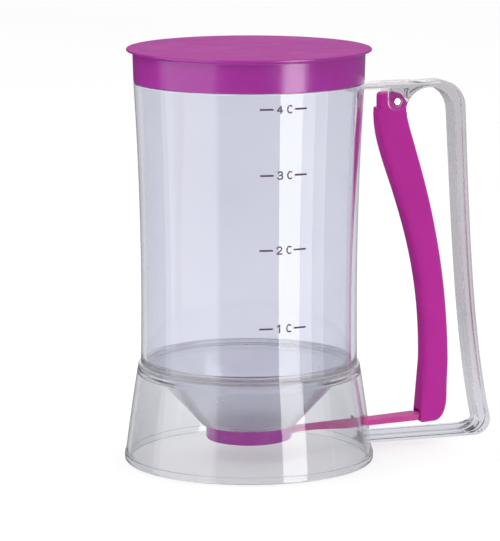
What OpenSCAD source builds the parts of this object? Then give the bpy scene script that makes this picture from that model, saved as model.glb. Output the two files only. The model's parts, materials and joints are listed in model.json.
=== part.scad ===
// Batter dispenser: a clear measuring cup with a funnel floor, a base skirt and a
// side handle. A top-hinged trigger draws a sliding gate off the outlet.
// Frame: origin on the table at the centre of the base ring, +Z up, handle along +X,
// graduated side towards -Y. Millimetres. The trigger is drawn squeezed, gate open.

/* [Lid] */
// Height of the lid's top face above the table
lid_top_z = 192.4; // [185:0.2:230]
// How far the lid's flange stands out past its skirt
flange_out = 2.9; // [2:0.1:4]
// Thickness of the flange and of the lid's top
lid_flange_t = 1.8; // [1.4:0.1:2.6]
// How much wider the lid's skirt is at the flange than at its lower edge
lid_draft = 0.4; // [0.1:0.1:0.8]
// Height of the lid's skirt below the flange
lid_skirt_h = 13.6; // [10:0.1:16]
// Wall of the lid's skirt at its lower edge
lid_wall = 1.6; // [1.2:0.1:2.2]
// Radial clearance between the lid's skirt and the cup's rim
lid_fit = 0.3; // [0.2:0.05:0.5]
// Gap between the lid's underside and the rim, and between the skirt and the ledge
lid_seat_gap = 0.2; // [0.1:0.05:0.4]
// Size of the small bevels on the flange
flange_edge = 0.5; // [0.2:0.1:0.7]
// Size of the small bevel on the skirt's lower edge
lid_edge = 0.3; // [0.1:0.1:0.6]

/* [Cup] */
// Outer radius at the waist, the narrowest place
cup_waist_r = 50.1; // [48:0.1:51]
// Height of the waist
cup_waist_z = 76; // [65:1:95]
// Outer radius at the ledge under the lid, flush with the lid's lower edge
cup_top_r = 53.2; // [52.4:0.1:54]
// Wall of the cup at the waist
cup_wall = 2.2; // [1.8:0.1:3]
// Wall of the rim inside the lid
rim_wall = 1.6; // [1.2:0.1:2]
// Height of the ring face that sits on the base skirt
cup_seat_z = 43.5; // [38:0.5:50]
// Gap left for the bond between glued pieces
bond_gap = 0.05; // [0.02:0.01:0.1]

/* [Funnel] */
// How far the shoulder under the cone stands out past the valve cap
shoulder_w = 2.3; // [1:0.1:4]
// Radial gap between the cone and the skirt's ledge, at the ledge
cone_gap = 1.5; // [0.5:0.1:3]
// Thickness of the flat floor round the outlet
funnel_floor_t = 2; // [1.6:0.1:3]
// Radius of the outlet hole in the floor
outlet_r = 4.6; // [4:0.1:5]
// How far the boss round the outlet stands out past the seal ring
boss_step = 1.4; // [0.6:0.1:2.6]
// Wall of the neck that the valve cap fits over
neck_wall = 2; // [1.6:0.1:2.6]

/* [Base skirt] */
// Thickness of the skirt's collar round the cup, at its top
collar_t = 1.03; // [0.8:0.01:2]
// Outer radius at the foot of the skirt, above the bead
skirt_low_r = 57.6; // [56:0.1:60]
// Outward bulge of the skirt at half its height
skirt_bulge = 0.25; // [0:0.05:1]
// Wall of the skirt
skirt_wall = 2; // [1.8:0.1:2.6]
// How far the skirt's collar stands up round the cup
collar_h = 2; // [1.5:0.1:3]
// Height of the bead round the foot
bead_h = 3.3; // [2.5:0.1:5]
// How far the bead stands out
bead_out = 0.5; // [0.3:0.05:1]
// How far the ledge that carries the cup stands in from the skirt's wall
seat_w = 1.2; // [0.8:0.1:2]
// Thickness of that ledge at its edge
seat_t = 1.2; // [0.8:0.1:2]
// Height of the slope under the ledge
seat_slope = 1.8; // [1:0.1:3]
// Size of the small bevels on the bead
bead_edge = 0.4; // [0.2:0.1:0.5]

/* [Valve cap] */
// Height of the cap's underside above the table
cap_z = 9.4; // [8:0.1:14]
// Outer radius of the cap
cap_r = 20; // [19.6:0.1:20.6]
// Height of the cap
cap_h = 7; // [6.6:0.1:8]
// Wall of the cap
cap_wall = 1.4; // [1.2:0.1:1.8]
// Thickness of the cap's floor
cap_floor_t = 1.4; // [1.2:0.1:2]
// How much smaller than the outlet the hole in the cap's floor is, in radius
hole_step = 0.2; // [0.1:0.05:0.6]
// Radial clearance between the cap and the neck
cap_fit = 0.1; // [0.05:0.05:0.2]
// Thickness of the seal ring
seal_t = 1.2; // [1:0.1:1.6]
// Radial width of the seal ring
seal_w = 1.5; // [1:0.1:2]
// Radial distance from the outlet hole to the seal ring's bore
seal_step = 0.1; // [0:0.05:0.3]

/* [Gate] */
// Thickness of the gate plate and of its arm
gate_t = 1.5; // [1.2:0.1:2]
// Width of the gate plate
gate_w = 15; // [13.5:0.5:18]
// Length of the gate plate
gate_len = 14; // [12.5:0.5:16]
// Radius of the gate plate's front corners
gate_corner_r = 2.5; // [1:0.5:4]
// Distance from the outlet's edge to the gate's edge when open
gate_open_gap = 0.4; // [0.2:0.1:0.8]
// Gap above and below the gate plate
slide_gap = 0.1; // [0.05:0.05:0.2]
// Gap beside the gate plate and in the cap's slot
side_gap = 0.35; // [0.3:0.05:0.6]
// Width of the guide rails in the cap
rail_w = 1.2; // [1:0.1:1.6]
// Width of the arm at the gate plate
arm_w = 8.5; // [7:0.5:10]
// Length of the narrowing between the gate plate and the arm
plate_taper = 4; // [2:0.5:6]
// Length of the widening at the arm's end
arm_taper = 20; // [10:1:30]
// How far the arm's end is narrower than the trigger on each side
arm_inset = 0.4; // [0.2:0.1:1]
// Rise of the arm for each millimetre along X
arm_rise = 0.043; // [0.02:0.001:0.05]
// How far the arm's root is narrower than the gate plate on each side
root_inset = 1; // [0.5:0.1:1.2]
// Clearance round the arm in the skirt's window
window_gap = 0.6; // [0.4:0.1:1]
// Radius of the round bead at the arm's end
bead_r = 1.5; // [1.2:0.1:1.8]
// Length of the bead across Y
bead_len = 7.4; // [6:0.2:7.6]
// How far the tongue is narrower than the bead on each side
bead_inset = 0.4; // [0.2:0.1:1]
// Clearance round the bead in the trigger's socket
bead_gap = 0.25; // [0.2:0.05:0.4]
// Clearance above and below the tongue in the socket's mouth
mouth_gap = 0.75; // [0.4:0.05:0.9]
// Distance from the trigger's inner face to the bead's centre
bead_in = 3.6; // [3.2:0.1:4.5]
// Gap between the arm's shoulders and the trigger
shoulder_gap = 0.6; // [0.5:0.1:1]

/* [Trigger] */
// Distance of the pivot from the cup's ledge
pivot_out = 18; // [16:0.1:21]
// Distance from the top bar down to the pivot
pivot_drop = 6.2; // [5.6:0.1:8]
// Swing of the trigger between squeezed and released, in degrees
trigger_swing = 4.4; // [3:0.1:4.6]
// Width of the trigger across Y
trigger_w = 11; // [10.5:0.5:12]
// Width of the trigger's head between the ears
head_w = 8; // [7.6:0.2:8.4]
// Distance from the pivot to the head's edge on the cup's side
head_back = 7.1; // [6.5:0.1:8]
// Distance from the pivot to the head's edge on the grip's side
head_front = 5.2; // [4.8:0.1:5.6]
// Height of the head above the pivot
head_up = 3.5; // [3.2:0.1:3.9]
// Radius of the head round the pivot pin
head_r = 3.4; // [3.2:0.1:3.6]
// Step in the edge below the head
head_step = 0.9; // [0.6:0.1:1.4]
// Distance from the pivot down to the step
step_drop = 4.3; // [4:0.1:6]
// Gap between the ears and the shoulders beside the head
ear_clear = 1; // [0.6:0.1:2]
// How far the lower grip lies further out than the head
trigger_reach = 22.4; // [18:0.2:23]
// Height of the place where the lower grip starts
grip_z = 41; // [35:1:55]
// Depth of the lower grip
trigger_depth = 12.3; // [11:0.1:13]
// How far the trigger's lower end turns back
trigger_heel = 1.2; // [0.6:0.1:2]
// Distance from the bead's centre down to the trigger's lower end
heel_drop = 3.4; // [2.6:0.1:4]
// How far the lower grip swells out towards its corner
trigger_swell = 0.9; // [0:0.1:2]
// Radius of the outer corner at the lower end
trigger_corner_r = 7; // [5:0.5:8]

/* [Handle] */
// Width of the handle across Y
handle_w = 12; // [11.6:0.2:14]
// Distance from the lid's lower edge down to the top bar
bar_drop = 2.6; // [1:0.1:6]
// Thickness of the top bar
bar_t = 2.9; // [2.4:0.1:4]
// Outer radius of the corner between the top bar and the grip
corner_r = 13; // [10:0.5:16]
// Distance from the pivot to the grip's inner face, at the arch
hand_room = 28.4; // [27:0.1:33]
// How far the arch cuts into the front of the ears
arch_bite = 0.4; // [0.2:0.1:0.8]
// Depth of the grip
grip_depth = 6; // [5:0.1:8]
// How far the grip leans out between the arch and the foot
grip_lean = 14.4; // [10:0.2:18]
// Radius of the ears round the pivot pin
ear_r = 4.4; // [4:0.1:4.8]
// Gap between the ears and the trigger's head
ear_gap = 0.3; // [0.2:0.05:0.4]
// Height of the foot's underside above the base bead
foot_gap = 0.05; // [0.02:0.01:0.1]
// Thickness of the foot's flange
foot_t = 1.7; // [1.4:0.1:3]
// Height of the rib above the foot's flange
rib_h = 3.6; // [2:0.1:3.8]
// Thickness of the rib
rib_t = 3; // [2:0.2:4]
// Radius of the outer corner at the foot
foot_corner_r = 8; // [6:0.5:9]
// Height of the curve between the foot and the grip
foot_fillet = 5; // [3:0.5:8]

/* [Pivot pin and spring] */
// Radius of the pivot pin
pin_r = 1.6; // [1.4:0.1:1.8]
// Radial running clearance of the trigger on the pin
pin_fit = 0.05; // [0.02:0.01:0.1]
// Radius of the recess round the pin's end
pin_recess_r = 2.2; // [2:0.1:2.6]
// Depth of that recess
pin_recess = 0.6; // [0.3:0.1:0.8]
// Wire thickness of the return spring
wire_d = 0.7; // [0.5:0.1:0.8]
// Radial gap between the pin and the spring's coil
coil_gap = 0.25; // [0.2:0.05:0.4]
// Number of turns of the coil
coil_turns = 3; // [2:1:3]
// Distance from turn to turn
coil_pitch = 0.9; // [0.9:0.05:1]
// Length of the spring's leg below the pivot
leg_len = 12; // [8:0.5:14]
// Room beside the spring's wire in the trigger's slot
leg_gap = 0.4; // [0.35:0.05:0.5]

/* [Hidden] */
round_fn = 96;
eps = 0.01;

// lid and rim
lid_edge_r = cup_top_r;
lid_skirt_r = lid_edge_r + lid_draft;
lid_flange_r = lid_skirt_r + flange_out;
lid_under_z = lid_top_z - lid_flange_t;
lid_low_z = lid_under_z - lid_skirt_h;
lid_bore_r = lid_edge_r - lid_wall;
rim_r = lid_bore_r - lid_fit;
rim_z = lid_under_z - lid_seat_gap;
ledge_z = lid_low_z - lid_seat_gap;
rim_bore_r = rim_r - rim_wall;

// valve stack, from the cap's underside up
cap_floor_z = cap_z + cap_floor_t;
gate_z = cap_floor_z + slide_gap;
seal_z = gate_z + gate_t + slide_gap;
neck_z = seal_z + seal_t;
cap_top_z = cap_z + cap_h;
shoulder_z = cap_top_z + bond_gap;
cap_bore_r = cap_r - cap_wall;
neck_r = cap_bore_r - cap_fit;
floor_z = shoulder_z + funnel_floor_t;
seal_bore_r = outlet_r + seal_step;
seal_r = seal_bore_r + seal_w;
outlet_boss_r = seal_r + boss_step;
cap_hole_r = outlet_r - hole_step;

// cup wall: outside and inside widen from the waist to the ledge and to the rim's bore
wall_steps = 20;
waist_in_r = cup_waist_r - cup_wall;
function widening(z) = pow((z - cup_waist_z) / (ledge_z - cup_waist_z), 2);
function cup_r(z) = cup_waist_r + (cup_top_r - cup_waist_r) * widening(z);
function cup_in_r(z) = waist_in_r + (rim_bore_r - waist_in_r) * widening(z);

// skirt
skirt_top_z = cup_seat_z + collar_h;
skirt_top_r = cup_r(cup_seat_z) + bond_gap + collar_t;
function skirt_r(z) = let (t = (z - bead_h) / (skirt_top_z - bead_h))
    skirt_low_r + (skirt_top_r - skirt_low_r) * t + 4 * skirt_bulge * t * (1 - t);
bead_r_out = skirt_low_r + bead_out;
seat_r = skirt_r(cup_seat_z) - skirt_wall - seat_w;
skirt_steps = 10;

// funnel, from the shoulder above the valve cap up to the skirt's ledge
funnel_low_r = cap_r + shoulder_w;
funnel_flare = (seat_r - cone_gap - funnel_low_r) / (cup_seat_z - shoulder_z);
function cone_r(z) = funnel_low_r + funnel_flare * (z - shoulder_z);
cone_wall = cup_wall * sqrt(1 + funnel_flare * funnel_flare);
// height at which the inner cone meets the inner wall
cup_foot_z = cup_seat_z
    + (cup_in_r(cup_seat_z) - cone_r(cup_seat_z) + cone_wall) / funnel_flare;

// top bar and pivot
bar_top_z = lid_low_z - bar_drop;
bar_z = bar_top_z - bar_t;
pivot_x = cup_top_r + pivot_out;
pivot_z = bar_z - pivot_drop;
pivot = [pivot_x, pivot_z];

// gate, drawn open
gate_x = outlet_r + gate_open_gap;
arm_x = gate_x + gate_len;
arm_z = gate_z + gate_t / 2;
trigger_in_x = pivot_x - head_back - head_step + trigger_reach;
heel_x = trigger_in_x - trigger_heel;
bead_x = heel_x + bead_in;
bead_z = arm_z + arm_rise * (bead_x - arm_x);
arm_angle = atan(arm_rise);
arm_end_w = trigger_w - 2 * arm_inset;
lever = pivot_z - bead_z;
travel = lever * trigger_swing * PI / 180;
// how far the trigger's socket drops while the gate closes
link_r = norm([bead_x - pivot_x, lever]);
link_a = atan((bead_x - pivot_x) / lever);
link_drop = link_r * (cos(link_a - trigger_swing) - cos(link_a));

// trigger
trigger_top_x = pivot_x - head_back - head_step;
trigger_top_z = pivot_z - step_drop;
trigger_low_z = bead_z - heel_drop;
shoulder_drop = ear_r + ear_clear;
head_front_x = pivot_x + head_front;
grip_h = trigger_top_z - grip_z;
function bez(p, t) = pow(1 - t, 3) * p[0] + 3 * t * pow(1 - t, 2) * p[1]
    + 3 * t * t * (1 - t) * p[2] + pow(t, 3) * p[3];
function curve(p, n) = [for (i = [0:n]) bez(p, i / n)];
function arc(c, r, a0, a1, n) =
    [for (i = [0:n]) let (a = a0 + (a1 - a0) * i / n) [c[0] + r * cos(a), c[1] + r * sin(a)]];
function backwards(p) = [for (i = [len(p) - 1:-1:0]) p[i]];
trigger_in = curve([[trigger_top_x, trigger_top_z],
                    [trigger_top_x + 0.067 * trigger_reach, trigger_top_z - 0.25 * grip_h],
                    [trigger_in_x + 0.027 * trigger_reach, trigger_top_z - 0.47 * grip_h],
                    [trigger_in_x, grip_z]], 24);
trigger_out = curve([[pivot_x + 0.94 * head_front, trigger_top_z],
                     [pivot_x + 1.08 * head_front, trigger_top_z - 0.13 * grip_h],
                     [trigger_in_x + 0.894 * trigger_depth, trigger_top_z - 0.42 * grip_h],
                     [trigger_in_x + trigger_depth, grip_z]], 24);
low_out_x = heel_x + trigger_depth + trigger_swell;
low_corner = [low_out_x - trigger_corner_r, trigger_low_z + trigger_corner_r];

// handle
foot_z = bead_h + foot_gap;
foot_top_z = foot_z + foot_t;
grip_x = pivot_x + hand_room;
arch_r = (hand_room - ear_r + arch_bite) / 2;
arch_c = [grip_x - arch_r, bar_z - arch_r - 0.1];
grip_low_x = grip_x + grip_lean;
grip_low_z = foot_top_z + foot_fillet;
grip_span = arch_c[1] - grip_low_z;
corner_c = [grip_x + grip_depth - corner_r, bar_top_z - corner_r];
grip_in = curve([[grip_x, arch_c[1]],
                 [grip_x + 0.2 * grip_lean, arch_c[1] - 0.31 * grip_span],
                 [grip_x + 0.36 * grip_lean, arch_c[1] - 0.715 * grip_span],
                 [grip_low_x, grip_low_z]], 24);
grip_out = curve([[grip_x + grip_depth, corner_c[1]],
                  [grip_x + grip_depth + 0.167 * grip_lean, arch_c[1] - 0.31 * grip_span],
                  [grip_x + grip_depth + 0.32 * grip_lean, arch_c[1] - 0.715 * grip_span],
                  [grip_low_x + grip_depth, grip_low_z + 0.32 * foot_fillet]], 24);
foot_corner = [grip_low_x + grip_depth - foot_corner_r, foot_z + foot_corner_r];

// spring
coil_r = pin_r + coil_gap + wire_d / 2;
leg_x = pivot_x - coil_r;
coil_half = coil_turns * coil_pitch / 2;
pocket_r = coil_r + wire_d / 2 + leg_gap;
slot_half = coil_half + wire_d / 2 + leg_gap;
leg_swing = (leg_len + 1) * sin(trigger_swing);

// ---- helpers ----

// extrudes a profile drawn in X and Z to a width centred on Y
module across(w) {
    translate([0, w / 2, 0]) rotate([90, 0, 0]) linear_extrude(w) children();
}

// a cylinder along Y centred on the given X and Z
module y_rod(p, r, len, fn = 48) {
    translate([p[0], len / 2, p[1]]) rotate([90, 0, 0]) cylinder(h = len, r = r, $fn = fn);
}

module block(lo, hi) {
    translate(lo) cube(hi - lo);
}

// the space that the cup fills, as a solid of revolution
module cup_space() {
    rotate_extrude($fn = round_fn)
        polygon(concat([[0, cup_seat_z - bond_gap]],
            [for (i = [0:wall_steps])
                let (z = cup_seat_z - bond_gap
                         + (ledge_z - cup_seat_z + bond_gap) * i / wall_steps)
                [cup_r(z) + bond_gap, z]],
            [[0, ledge_z]]));
}

// the space that the base skirt fills
module skirt_space() {
    rotate_extrude($fn = round_fn)
        polygon(concat([[0, -eps], [bead_r_out + bond_gap, -eps],
                        [bead_r_out + bond_gap, bead_h]],
            [for (i = [0:skirt_steps])
                let (z = bead_h + (skirt_top_z - bead_h) * i / skirt_steps)
                [skirt_r(z) + bond_gap, z]],
            [[0, skirt_top_z]]));
}

// ---- sub-parts ----

module cup() {
    color([0.83, 0.85, 0.89, 0.4]) rotate_extrude($fn = round_fn)
        polygon(concat(
            // outlet boss, groove, neck and shoulder
            [[outlet_r, neck_z], [outlet_boss_r, neck_z], [outlet_boss_r, shoulder_z],
             [neck_r - neck_wall, shoulder_z], [neck_r - neck_wall, neck_z],
             [neck_r, neck_z], [neck_r, shoulder_z], [funnel_low_r, shoulder_z],
             [cone_r(cup_seat_z), cup_seat_z]],
            // outer wall
            [for (i = [0:wall_steps])
                let (z = cup_seat_z + (ledge_z - cup_seat_z) * i / wall_steps)
                [cup_r(z), z]],
            // ledge and rim
            [[rim_r, ledge_z], [rim_r, rim_z], [rim_bore_r, rim_z]],
            // inner wall, cone and floor
            [for (i = [wall_steps:-1:0])
                let (z = cup_foot_z + (ledge_z - cup_foot_z) * i / wall_steps)
                [cup_in_r(z), z]],
            [[cone_r(floor_z) - cone_wall, floor_z], [outlet_r, floor_z]]));
}

module base_skirt() {
    seat_low_z = cup_seat_z - bond_gap - seat_t;
    slope_z = seat_low_z - seat_slope;
    color([0.80, 0.82, 0.85, 0.4]) difference() {
        rotate_extrude($fn = round_fn)
            polygon(concat(
                [[skirt_low_r - skirt_wall, 0], [bead_r_out - bead_edge, 0],
                 [bead_r_out, bead_edge], [bead_r_out, bead_h - bead_edge],
                 [bead_r_out - bead_edge, bead_h]],
                [for (i = [0:skirt_steps])
                    let (z = bead_h + (skirt_top_z - bead_h) * i / skirt_steps)
                    [skirt_r(z), z]],
                // collar round the cup and the ledge that carries it
                [[cup_r(cup_seat_z) + bond_gap, skirt_top_z],
                 [cup_r(cup_seat_z) + bond_gap, cup_seat_z - bond_gap],
                 [seat_r, cup_seat_z - bond_gap], [seat_r, seat_low_z],
                 [skirt_r(slope_z) - skirt_wall, slope_z]],
                [for (i = [skirt_steps - 2:-1:0])
                    let (z = bead_h + (skirt_top_z - bead_h) * i / skirt_steps)
                    [skirt_r(z) - skirt_wall, z]]));
        // window for the arm, which rises by the slope of its travel
        block([cap_r, -arm_w / 2 - 2 * window_gap, window_z0],
              [bead_r_out + 1, arm_w / 2 + 2 * window_gap, window_z1]);
    }
}
window_x = skirt_r(arm_z);
window_z0 = arm_z + arm_rise * (window_x - skirt_wall - arm_x) - gate_t / 2 - window_gap;
window_z1 = arm_z + arm_rise * (window_x + travel - arm_x) + gate_t / 2 + window_gap;

module handle_profile(top_z) {
    difference() {
        union() {
            polygon(concat(
                [[0, bar_top_z]],
                arc(corner_c, corner_r, 90, 0, 12),
                grip_out,
                arc(foot_corner, foot_corner_r, 0, -90, 8),
                [[0, foot_z], [0, top_z], [grip_low_x - 1.6 * foot_fillet, top_z],
                 [grip_low_x - 0.48 * foot_fillet, top_z + 0.32 * foot_fillet]],
                backwards(grip_in),
                [[pivot_x + ear_r, arch_c[1]], [pivot_x + ear_r, pivot_z],
                 [pivot_x - ear_r, pivot_z], [pivot_x - ear_r, bar_z], [0, bar_z]]));
            translate(pivot) circle(r = ear_r, $fn = 48);
        }
        translate(arch_c) circle(r = arch_r, $fn = 72);
    }
}

module handle() {
    color([0.78, 0.77, 0.79, 0.5]) difference() {
        union() {
            across(handle_w) handle_profile(foot_top_z);
            intersection() {
                across(rib_t) handle_profile(foot_top_z + rib_h);
                block([0, -rib_t, foot_z],
                      [grip_low_x + grip_depth / 2, rib_t, grip_low_z + rib_h]);
            }
        }
        cup_space();
        skirt_space();
        // slot between the ears for the trigger's head
        block([pivot_x - ear_r - 1, -head_w / 2 - ear_gap, pivot_z - ear_r - 1],
              [head_front_x + ear_clear, head_w / 2 + ear_gap, bar_z]);
        // pin holes and the recess round the pin's near end
        y_rod(pivot, pin_r + 0.02, handle_w + 2);
        translate([pivot_x, -handle_w / 2 + pin_recess, pivot_z])
            rotate([90, 0, 0]) cylinder(h = 2, r = pin_recess_r, $fn = 48);
    }
}

module valve_cap() {
    slot_w = gate_w + 2 * side_gap;
    rail_x = sqrt(pow(cap_bore_r - side_gap, 2) - pow(slot_w / 2 + rail_w, 2));
    color([0.57, 0.20, 0.58]) difference() {
        union() {
            difference() {
                translate([0, 0, cap_z]) cylinder(h = cap_h, r = cap_r, $fn = round_fn);
                translate([0, 0, cap_floor_z])
                    cylinder(h = cap_h, r = cap_bore_r, $fn = round_fn);
            }
            // guide rails beside the gate plate
            for (s = [-1, 1])
                translate([-rail_x, s > 0 ? slot_w / 2 : -slot_w / 2 - rail_w,
                           cap_floor_z - eps])
                    cube([2 * rail_x, rail_w, gate_t + slide_gap + eps]);
        }
        translate([0, 0, cap_z - 1])
            cylinder(h = cap_floor_t + 2, r = cap_hole_r, $fn = 64);
        // slot through the wall for the gate plate and its rising arm
        block([0, -slot_w / 2, cap_floor_z],
              [cap_r + 2, slot_w / 2,
               gate_z + gate_t + arm_rise * travel + side_gap]);
    }
}

module seal_ring() {
    color([0.86, 0.86, 0.87]) translate([0, 0, seal_z]) difference() {
        cylinder(h = seal_t, r = seal_r, $fn = 64);
        translate([0, 0, -1]) cylinder(h = seal_t + 2, r = seal_bore_r, $fn = 64);
    }
}

module pivot_pin() {
    color([0.80, 0.80, 0.82]) translate([0, pin_recess / 2, 0])
        y_rod(pivot, pin_r, handle_w - pin_recess);
}

// torsion spring: a leg down from the top bar, the coil, and a leg inside the trigger
module return_spring() {
    seg = 20;
    sides = 8;
    wire_r = wire_d / 2;
    top = bar_z - 0.15;
    path = concat(
        [[180, leg_x, -coil_half, top]],
        [for (i = [0:coil_turns * seg])
            let (a = 180 + 360 * i / seg)
            [a, pivot_x + coil_r * cos(a), -coil_half + coil_pitch * i / seg,
             pivot_z + coil_r * sin(a)]],
        [[180, leg_x, coil_half, pivot_z - leg_len]]);
    rings = len(path);
    pts = [for (p = path) for (k = [0:sides - 1])
        let (f = 360 * k / sides)
        [p[1] + wire_r * cos(f) * cos(p[0]), p[2] + wire_r * sin(f),
         p[3] + wire_r * cos(f) * sin(p[0])]];
    walls = [for (i = [0:rings - 2]) for (k = [0:sides - 1])
        let (n = (k + 1) % sides)
        [i * sides + k, (i + 1) * sides + k, (i + 1) * sides + n, i * sides + n]];
    first = [for (k = [0:sides - 1]) k];
    last = [for (k = [sides - 1:-1:0]) (rings - 1) * sides + k];
    color([0.70, 0.70, 0.72]) polyhedron(points = pts, faces = concat([first, last], walls));
}

module trigger_profile() {
    head_top_z = pivot_z + head_up;
    polygon(concat(
        // head, from the step up and over the pin
        [[pivot_x - head_back, trigger_top_z],
         [pivot_x - head_back, head_top_z - 0.4 * head_up],
         [pivot_x - 0.85 * head_back, head_top_z - 0.06 * head_up]],
        arc([pivot_x, head_top_z - head_r], head_r, 90, 30, 6),
        [[pivot_x + 0.885 * head_front, pivot_z - 0.115 * head_front],
         [head_front_x, pivot_z - head_front / 2]],
        trigger_out,
        [[low_out_x, trigger_low_z + 2.25 * trigger_corner_r]],
        arc(low_corner, trigger_corner_r, 0, -90, 8),
        [[heel_x + trigger_heel, trigger_low_z], [heel_x, trigger_low_z + trigger_heel]],
        backwards(trigger_in)));
}

module trigger() {
    shoulder = pivot_z - shoulder_drop;
    socket_half = bead_len / 2 + 1.5 * bead_gap;
    color([0.70, 0.19, 0.57]) difference() {
        across(trigger_w) trigger_profile();
        // flats beside the head, clear of the ears
        for (s = [-1, 1])
            block([trigger_top_x - 1, s > 0 ? head_w / 2 : -trigger_w / 2 - 1, shoulder],
                  [head_front_x + head_front, s > 0 ? trigger_w / 2 + 1 : -head_w / 2,
                   pivot_z + head_up + 1]);
        y_rod(pivot, pin_r + pin_fit, trigger_w + 2);
        // room for the spring's coil and its two legs
        y_rod(pivot, pocket_r, 2 * slot_half);
        block([leg_x - wire_d / 2 - leg_gap, -slot_half, pivot_z - leg_len - 2 * leg_gap],
              [leg_x + wire_d / 2 + leg_gap + leg_swing, slot_half, pivot_z]);
        block([leg_x - wire_d / 2 - leg_gap, -slot_half, pivot_z],
              [pivot_x, slot_half, pivot_z + head_up + 1]);
        // socket for the arm's bead, tall enough for the arc of the swing
        block([bead_x - bead_r - bead_gap, -socket_half, bead_z - bead_r - 1.5 * bead_gap],
              [bead_x + bead_r + bead_gap, socket_half,
               bead_z + bead_r + link_drop + 1.5 * bead_gap]);
        // mouth for the tongue
        block([heel_x - 1, -socket_half, bead_z - gate_t / 2 - mouth_gap],
              [bead_x, socket_half, bead_z + gate_t / 2 + link_drop + mouth_gap]);
    }
}

module gate() {
    // lengths along the arm, from the back of the gate plate
    end_x = heel_x - shoulder_gap - arm_x;
    bead_end_x = bead_x - arm_x;
    tongue = bead_len / 2 - bead_inset;
    root_half = gate_w / 2 - root_inset;
    color([0.79, 0.40, 0.62]) union() {
        translate([0, 0, gate_z]) linear_extrude(gate_t)
            polygon(concat(
                arc([gate_x + gate_corner_r, gate_corner_r - gate_w / 2], gate_corner_r,
                    -90, -180, 6),
                arc([gate_x + gate_corner_r, gate_w / 2 - gate_corner_r], gate_corner_r,
                    180, 90, 6),
                [[arm_x, gate_w / 2], [arm_x, -gate_w / 2]]));
        // arm, tongue and bead, all on one gentle slope
        translate([arm_x, 0, arm_z]) rotate([0, -arm_angle, 0])
            translate([0, 0, -gate_t / 2]) linear_extrude(gate_t)
                polygon([[-root_inset, -root_half], [root_inset / 2, -root_half],
                         [plate_taper, -arm_w / 2], [end_x - arm_taper, -arm_w / 2],
                         [end_x, -arm_end_w / 2], [end_x, -tongue], [bead_end_x, -tongue],
                         [bead_end_x, tongue], [end_x, tongue], [end_x, arm_end_w / 2],
                         [end_x - arm_taper, arm_w / 2], [plate_taper, arm_w / 2],
                         [root_inset / 2, root_half], [-root_inset, root_half]]);
        y_rod([bead_x, bead_z], bead_r, bead_len);
    }
}

module lid() {
    color([0.66, 0.30, 0.61]) rotate_extrude($fn = round_fn)
        polygon([[0, lid_under_z], [lid_bore_r, lid_under_z],
                 [lid_bore_r, lid_low_z], [lid_edge_r - lid_edge, lid_low_z],
                 [lid_edge_r, lid_low_z + lid_edge], [lid_skirt_r, lid_under_z],
                 [lid_flange_r - flange_edge, lid_under_z],
                 [lid_flange_r, lid_under_z + flange_edge],
                 [lid_flange_r, lid_top_z - flange_edge],
                 [lid_flange_r - flange_edge, lid_top_z],
                 [0, lid_top_z]]);
}

cup();
base_skirt();
handle();
valve_cap();
seal_ring();
pivot_pin();
return_spring();
trigger();
gate();
lid();
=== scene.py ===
"""A clear batter dispenser: measuring cup, base skirt and side handle in clear plastic,
with a purple lid, trigger and valve cap and a pink gate arm.

Sizes are in millimetres in the CAD frame and become metres when a mesh is made.
"""
import json
from math import atan, ceil, copysign, cos, degrees, pi, radians, sin, sqrt, tan

import bmesh
import bpy
from mathutils import Matrix, Vector


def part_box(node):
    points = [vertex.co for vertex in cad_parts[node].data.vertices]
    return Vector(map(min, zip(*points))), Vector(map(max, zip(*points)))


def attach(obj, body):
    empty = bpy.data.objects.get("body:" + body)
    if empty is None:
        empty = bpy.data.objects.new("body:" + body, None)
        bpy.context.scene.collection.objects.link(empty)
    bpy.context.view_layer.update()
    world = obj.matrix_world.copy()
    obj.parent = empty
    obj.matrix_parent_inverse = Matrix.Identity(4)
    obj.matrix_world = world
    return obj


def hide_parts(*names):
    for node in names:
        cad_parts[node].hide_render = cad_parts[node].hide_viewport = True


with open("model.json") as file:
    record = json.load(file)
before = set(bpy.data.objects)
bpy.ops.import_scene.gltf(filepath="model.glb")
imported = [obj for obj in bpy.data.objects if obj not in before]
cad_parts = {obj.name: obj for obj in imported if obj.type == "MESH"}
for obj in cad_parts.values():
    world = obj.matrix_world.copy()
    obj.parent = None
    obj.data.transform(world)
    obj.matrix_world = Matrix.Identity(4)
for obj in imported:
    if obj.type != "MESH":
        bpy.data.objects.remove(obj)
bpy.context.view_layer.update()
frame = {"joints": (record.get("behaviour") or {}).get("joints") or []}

MM = 0.001
TINY = 1e-7
scene = bpy.context.scene
scene.view_settings.view_transform = "Standard"
scene.cycles.max_bounces = 32
scene.cycles.transmission_bounces = 32
scene.cycles.glossy_bounces = 24


# ---- camera -------------------------------------------------------------------------

# degrees and metres, fitted to the ellipses of the lid and the base in the photograph
VIEW_AZIMUTH = -18.6
VIEW_PITCH = 9.85
VIEW_DISTANCE = 1.5
VIEW_HEIGHT = 0.3489
VIEW_OFFSET = 0.00047
IMAGE_LONG_SIDE = 541
FOCAL_PIXELS = 3276
SENSOR = 36


def turned(angle, reach, height):
    """A point round the object: angle 0 is towards the camera, positive to its right."""
    a = radians(VIEW_AZIMUTH + angle)
    return Vector((sin(a) * reach, -cos(a) * reach, height))


def make_camera():
    """Places the camera where the photograph was taken from."""
    data = bpy.data.cameras.new("camera")
    data.sensor_width = SENSOR
    data.lens = FOCAL_PIXELS / IMAGE_LONG_SIDE * SENSOR
    camera = bpy.data.objects.new("camera", data)
    scene.collection.objects.link(camera)
    right = turned(90, 1, 0)
    camera.location = turned(0, VIEW_DISTANCE, VIEW_HEIGHT) + right * VIEW_OFFSET
    camera.rotation_euler = (radians(90 - VIEW_PITCH), 0, radians(VIEW_AZIMUTH))
    scene.camera = camera


make_camera()


# ---- sizes --------------------------------------------------------------------------


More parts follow.
